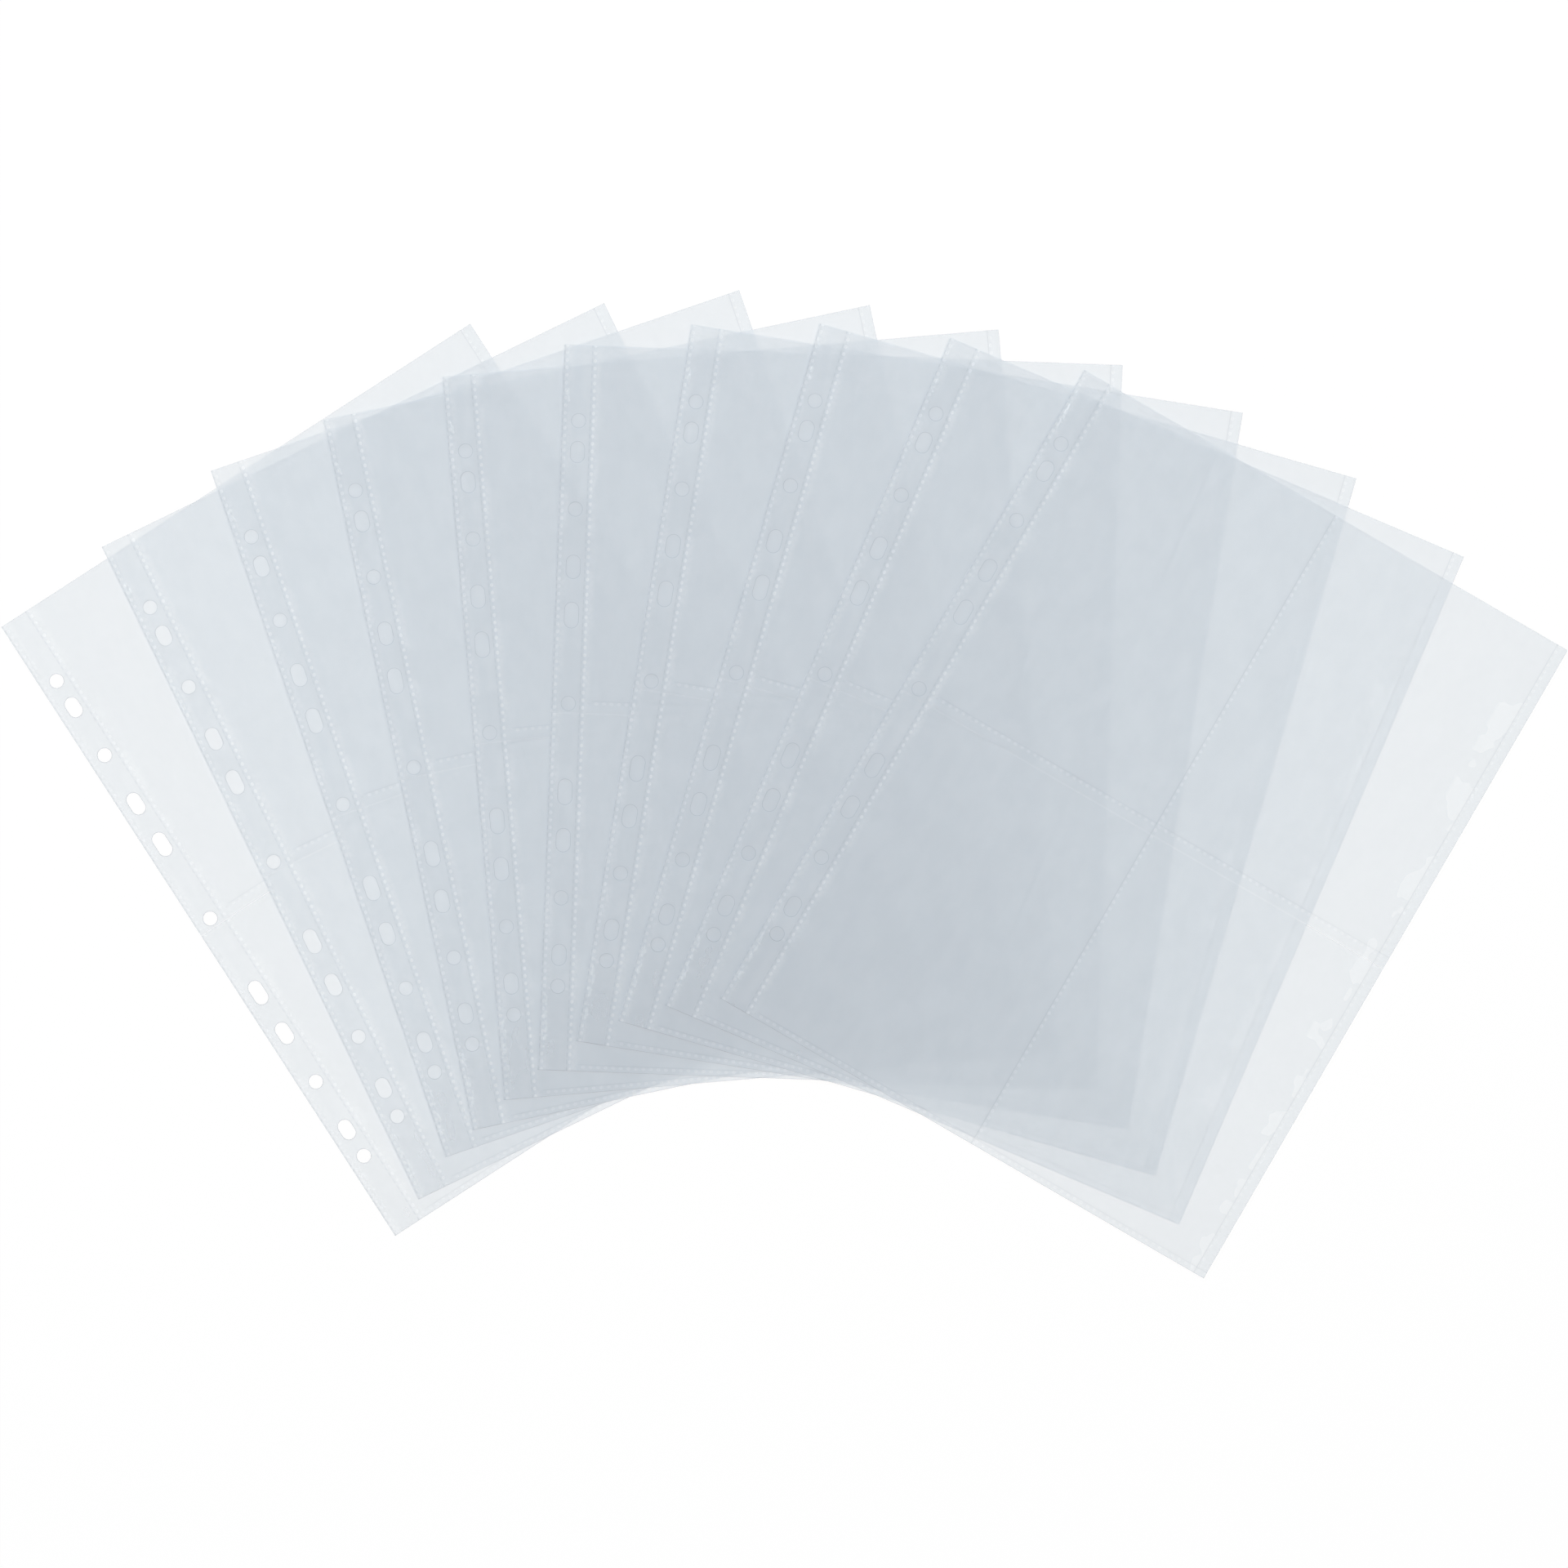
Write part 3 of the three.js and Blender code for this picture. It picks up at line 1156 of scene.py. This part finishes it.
@dataclass
class Sleeve:
    """One sleeve of the fan.

    Args:
        design: The sizes that all sleeves share.
        placement: Where this one lies.
        cuts: The three films laid out flat.
        face_material: The material of the pocket films' outer faces.
        under_material: The material of all the films' other faces.
        spots: What makes the weld spots.
        seed_step: How far the seeds of two neighbouring sleeves lie apart.
        grain_step: How far their clouds lie apart, so that no two sleeves look the same.
        sharp_deg: The angle past which an edge is seen as sharp.
        open_edge_highlight: How strong the painted highlight along a pocket's open edge is, as a share of
            the strongest one on a ridge.
    """

    design: SleeveDesign
    placement: Placement
    cuts: dict[Film, FilmCut]
    face_material: Material
    under_material: Material
    spots: SpotRow
    seed_step: int = 11
    grain_step: tuple[float, float] = (317.0, 431.0)
    sharp_deg: float = 40.0
    open_edge_highlight: float = 0.7

    def build(self) -> None:
        """Makes the three films and the weld spots, and sets them in the frame."""
        for film in Film:
            piece = self._settled(self._film(film))
            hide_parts(f"{self.placement.body}_{film.value}")
        self._settled(self._weld_spots())

    def _settled(self, piece: Object) -> Object:
        """Lets a piece ride with the sleeve, and reports it.

        Args:
            piece: The piece.

        Returns:
            The same piece.
        """
        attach(piece, self.placement.body)
        log.info("%s: %d faces", piece.name, len(piece.data.polygons))
        return piece

    def _film(self, film: Film) -> Object:
        """One film as a thin closed sheet.

        Args:
            film: Which film.

        Returns:
            The piece.
        """
        cut = self.cuts[film]
        across, down = cut.points.T
        name = f"{self.placement.body}_{film.value}_sheet"
        if film is Film.BACK:
            under = np.zeros(len(cut.points))
            mesh = self._sheet(name, cut, under, under + self.design.sheet)
        else:
            puckers = Puckers(self.design, self.seed_step * self.placement.number)
            under = self.design.film_pitch + puckers.lift(across, down)
            pressed = self.design.seam_depth * self._pressed(across, down)
            mesh = self._sheet(name, cut, under, under + self.design.sheet - pressed)
            # Where the shader paints a highlight: on the ridges, and along the pocket's open edge.
            creases = np.maximum(puckers.creases(across, down), self.open_edge_highlight * cut.open_edge)
            self._mark(mesh, PAINTED_HIGHLIGHT, creases)
            mesh.materials.append(self.face_material)
        mesh.materials.append(self.under_material)
        slots = np.full(len(mesh.polygons), len(mesh.materials) - 1, np.int32)
        slots[: len(cut.triangles)] = 0
        mesh.polygons.foreach_set("material_index", slots)
        return placed(name, mesh)

    def _sheet(self, name: str, cut: FilmCut, under: Array, over: Array) -> Mesh:
        """A closed mesh of a film.

        Args:
            name: Its name.
            cut: The film laid out flat.
            under: The heights of its underside.
            over: The heights of its upper side.

        Returns:
            The mesh: the upper side's faces, then the underside's, then the walls between them.
        """
        count = len(cut.points)
        heights = (over, under)
        vertices = np.concatenate([self.placement.points(cut.points, height) for height in heights])
        tops = cut.triangles
        bottoms = tops[:, ::-1] + count
        edges = np.concatenate([tops[:, [0, 1]], tops[:, [1, 2]], tops[:, [2, 0]]])
        codes = edges[:, 0] * count + edges[:, 1]
        alone = edges[~np.isin(codes, edges[:, 1] * count + edges[:, 0])]
        walls = np.stack([alone[:, 1], alone[:, 0], alone[:, 0] + count, alone[:, 1] + count], 1)
        mesh = bpy.data.meshes.new(name)
        mesh.from_pydata(vertices.tolist(), [], tops.tolist() + bottoms.tolist() + walls.tolist())
        mesh.shade_smooth()
        mesh.set_sharp_from_angle(angle=math.radians(self.sharp_deg))
        self._map(mesh, cut)
        self._mark(mesh, RIM, cut.rim)
        return mesh

    @staticmethod
    def _mark(mesh: Mesh, name: str, values: Array) -> None:
        """Stores a number for each point of both sides of a film."""
        layer = mesh.attributes.new(name, "FLOAT", "POINT")
        layer.data.foreach_set("value", np.tile(values, 2).astype(np.float32))

    def _pressed(self, across: Array, down: Array) -> Array:
        """1 in the pressed seams and 0 beside them.

        Args:
            across: The points' places across the sleeve.
            down: The points' places down the sleeve.

        Returns:
            How deeply the film is pressed.
        """
        d = self.design
        inner, outer = d.seam_width / 2 - 0.05, d.seam_width / 2 + 0.15
        total = np.zeros_like(across)
        for seam in d.upright_seams:
            total = np.maximum(total, ease(np.abs(across - seam), outer, inner))
        for seam in (d.floor_seam, d.bottom_seam):
            level = ease(np.abs(down - seam), outer, inner)
            total = np.maximum(total, np.where(across > d.inner_seam, level, 0.0))
        return total

    def _map(self, mesh: Mesh, cut: FilmCut) -> None:
        """Gives a film its UV maps, in millimetres on the sleeve.

        Args:
            mesh: The film's mesh.
            cut: The film laid out flat.
        """
        corners = np.zeros(len(mesh.loops), np.int32)
        mesh.loops.foreach_get("vertex_index", corners)
        places = np.tile(cut.points, (2, 1))[corners]
        shift = np.array(self.grain_step) * self.placement.number
        for name, values in ((PLACE_MAP, places), (GRAIN_MAP, places + shift)):
            layer = mesh.uv_layers.new(name=name)
            layer.uv.foreach_set("vector", values.astype(np.float32).ravel())

    def _spotted(self, low: float, high: float) -> tuple[float, float]:
        """Where the first spot between two places lies, and a hair past the last one."""
        pitch = self.design.spot_pitch
        return math.ceil(low / pitch) * pitch, (math.floor(high / pitch) + 0.01) * pitch

    def _weld_spots(self) -> Object:
        """The weld spots of all the sleeve's seams, as one piece.

        Returns:
            The piece.
        """
        d = self.design
        upper = self._spotted(d.seam_end, d.cut - d.seam_end)
        lower = self._spotted(d.cut + d.cut_width + d.seam_end, d.height - d.seam_end)
        left, right = self._spotted(d.inner_seam, d.right_seam)
        lines = [((seam, top), (seam, end)) for top, end in (upper, lower) for seam in d.upright_seams]
        lines += [((left, seam), (right, seam)) for seam in (d.floor_seam, d.bottom_seam)]
        flat = np.array(lines)
        height = np.full(len(lines), d.film_pitch + d.sheet - d.seam_depth + self.spots.height / 2)
        starts = self.placement.points(flat[:, 0], height)
        ends = self.placement.points(flat[:, 1], height)
        name = f"{self.placement.body}_weld_spots"
        return self.spots.along(name, starts, ends, self.placement.number)


@dataclass
class Fan:
    """The ten sleeves."""

    design: SleeveDesign = field(default_factory=SleeveDesign)

    def build(self) -> None:
        """Makes every sleeve, from the lowest one up."""
        cuts = {film: FilmCut(self.design, film) for film in Film}
        film = ClearFilm()
        face, underside = film.face(self.design), film.underside()
        spots = SpotRow(WeldSpot().build(), self.design.spot_pitch, self.design.spot_length)
        for number in range(1, SLEEVE_COUNT + 1):
            Sleeve(self.design, Placement.read(number), cuts, face, underside, spots).build()


@dataclass
class Studio:
    """The pale table, the pale room, one soft lamp and the camera straight above.

    Args:
        frame_width: The real width that the picture shows, in metres.
        lens: The camera's lens, long, so that the fan is seen almost without perspective.
        table_drop: How far the table lies under the lowest film, in metres.
        table_white: How bright the table is seen, just past full white.
        room_light: How strongly the room lights the fan.
        clear_layers: How many clear faces a ray may pass.
    """

    frame_width: float = 0.6655
    lens: float = 200.0
    sensor: float = 36.0
    table_half: float = 12.0
    table_drop: float = 0.0001
    table_white: float = 1.01
    lamp_place: tuple[float, float, float] = (-0.5, 2.05, 4.4)
    lamp_size: float = 1.8
    lamp_power: float = 212.0
    room_light: float = 0.15
    clear_layers: int = 256
    bounces: int = 12

    def build(self) -> None:
        """Makes the surroundings."""
        self._table()
        self._room()
        self._lamp()
        self._camera()
        scene = bpy.context.scene
        scene.view_settings.view_transform = "Standard"
        scene.cycles.transparent_max_bounces = self.clear_layers
        scene.cycles.max_bounces = self.bounces
        scene.cycles.caustics_reflective = False

    def _table(self) -> None:
        """A white table that shows at full white, yet keeps the fan's shadow near it."""
        half = self.table_half
        mesh = bpy.data.meshes.new("table")
        corners = [(-half, -half), (half, -half), (half, half), (-half, half)]
        mesh.from_pydata([(x, y, -self.table_drop) for x, y in corners], [], [(0, 1, 2, 3)])
        tree = ShaderTree(bpy.data.materials.new("table"))
        seen = tree.path("Is Camera Ray", "Is Glossy Ray", "Is Transmission Ray")
        place = tree.node("ShaderNodeTexCoord").outputs["Object"]
        length = tree.node("ShaderNodeVectorMath", {"operation": "LENGTH"}, {0: place})
        away = Reading(tree, length.outputs["Value"])
        lit = tree.node("ShaderNodeBsdfDiffuse", None, {"Color": WHITE})
        white = tree.node("ShaderNodeEmission", None, {"Color": WHITE, "Strength": self.table_white})
        share = seen * (0.9 + 0.1 * away.eased(0.6, 1.6))
        mesh.materials.append(tree.finish(tree.blend(share, lit, white)))
        placed("table", mesh)

    def _room(self) -> None:
        """A white room: full white where it is seen or mirrored, dimmer as a light."""
        world = bpy.data.worlds.new("room")
        tree = ShaderTree(world)
        seen = tree.path("Is Camera Ray", "Is Glossy Ray")
        levels = {"Value": seen, "To Min": self.room_light, "To Max": 1.0}
        strength = tree.node("ShaderNodeMapRange", None, levels)
        tree.finish(tree.node("ShaderNodeBackground", None, {"Color": WHITE, "Strength": strength}))
        world.cycles.sampling_method = "NONE"
        bpy.context.scene.world = world

    def _lamp(self) -> None:
        """A square soft lamp that faces the middle of the table."""
        data = bpy.data.lights.new("key_lamp", "AREA")
        data.shape = "SQUARE"
        data.size = self.lamp_size
        data.energy = self.lamp_power
        lamp = placed("key_lamp", data)
        lamp.location = self.lamp_place
        lamp.rotation_euler = (-Vector(self.lamp_place)).to_track_quat("-Z", "Y").to_euler()
        lamp.visible_camera = False

    def _camera(self) -> None:
        """A camera straight above the fan that takes in the photograph's width."""
        data = bpy.data.cameras.new("camera")
        data.lens = self.lens
        data.sensor_width = self.sensor
        camera = placed("camera", data)
        camera.location = (0.0, 0.0, self.frame_width * self.lens / self.sensor)
        bpy.context.scene.camera = camera


def main() -> None:
    """Builds the surroundings and the fan."""
    logging.basicConfig(level=logging.INFO, format="%(name)s: %(message)s")
    Studio().build()
    Fan().build()


if __name__ == "__main__":
    main()
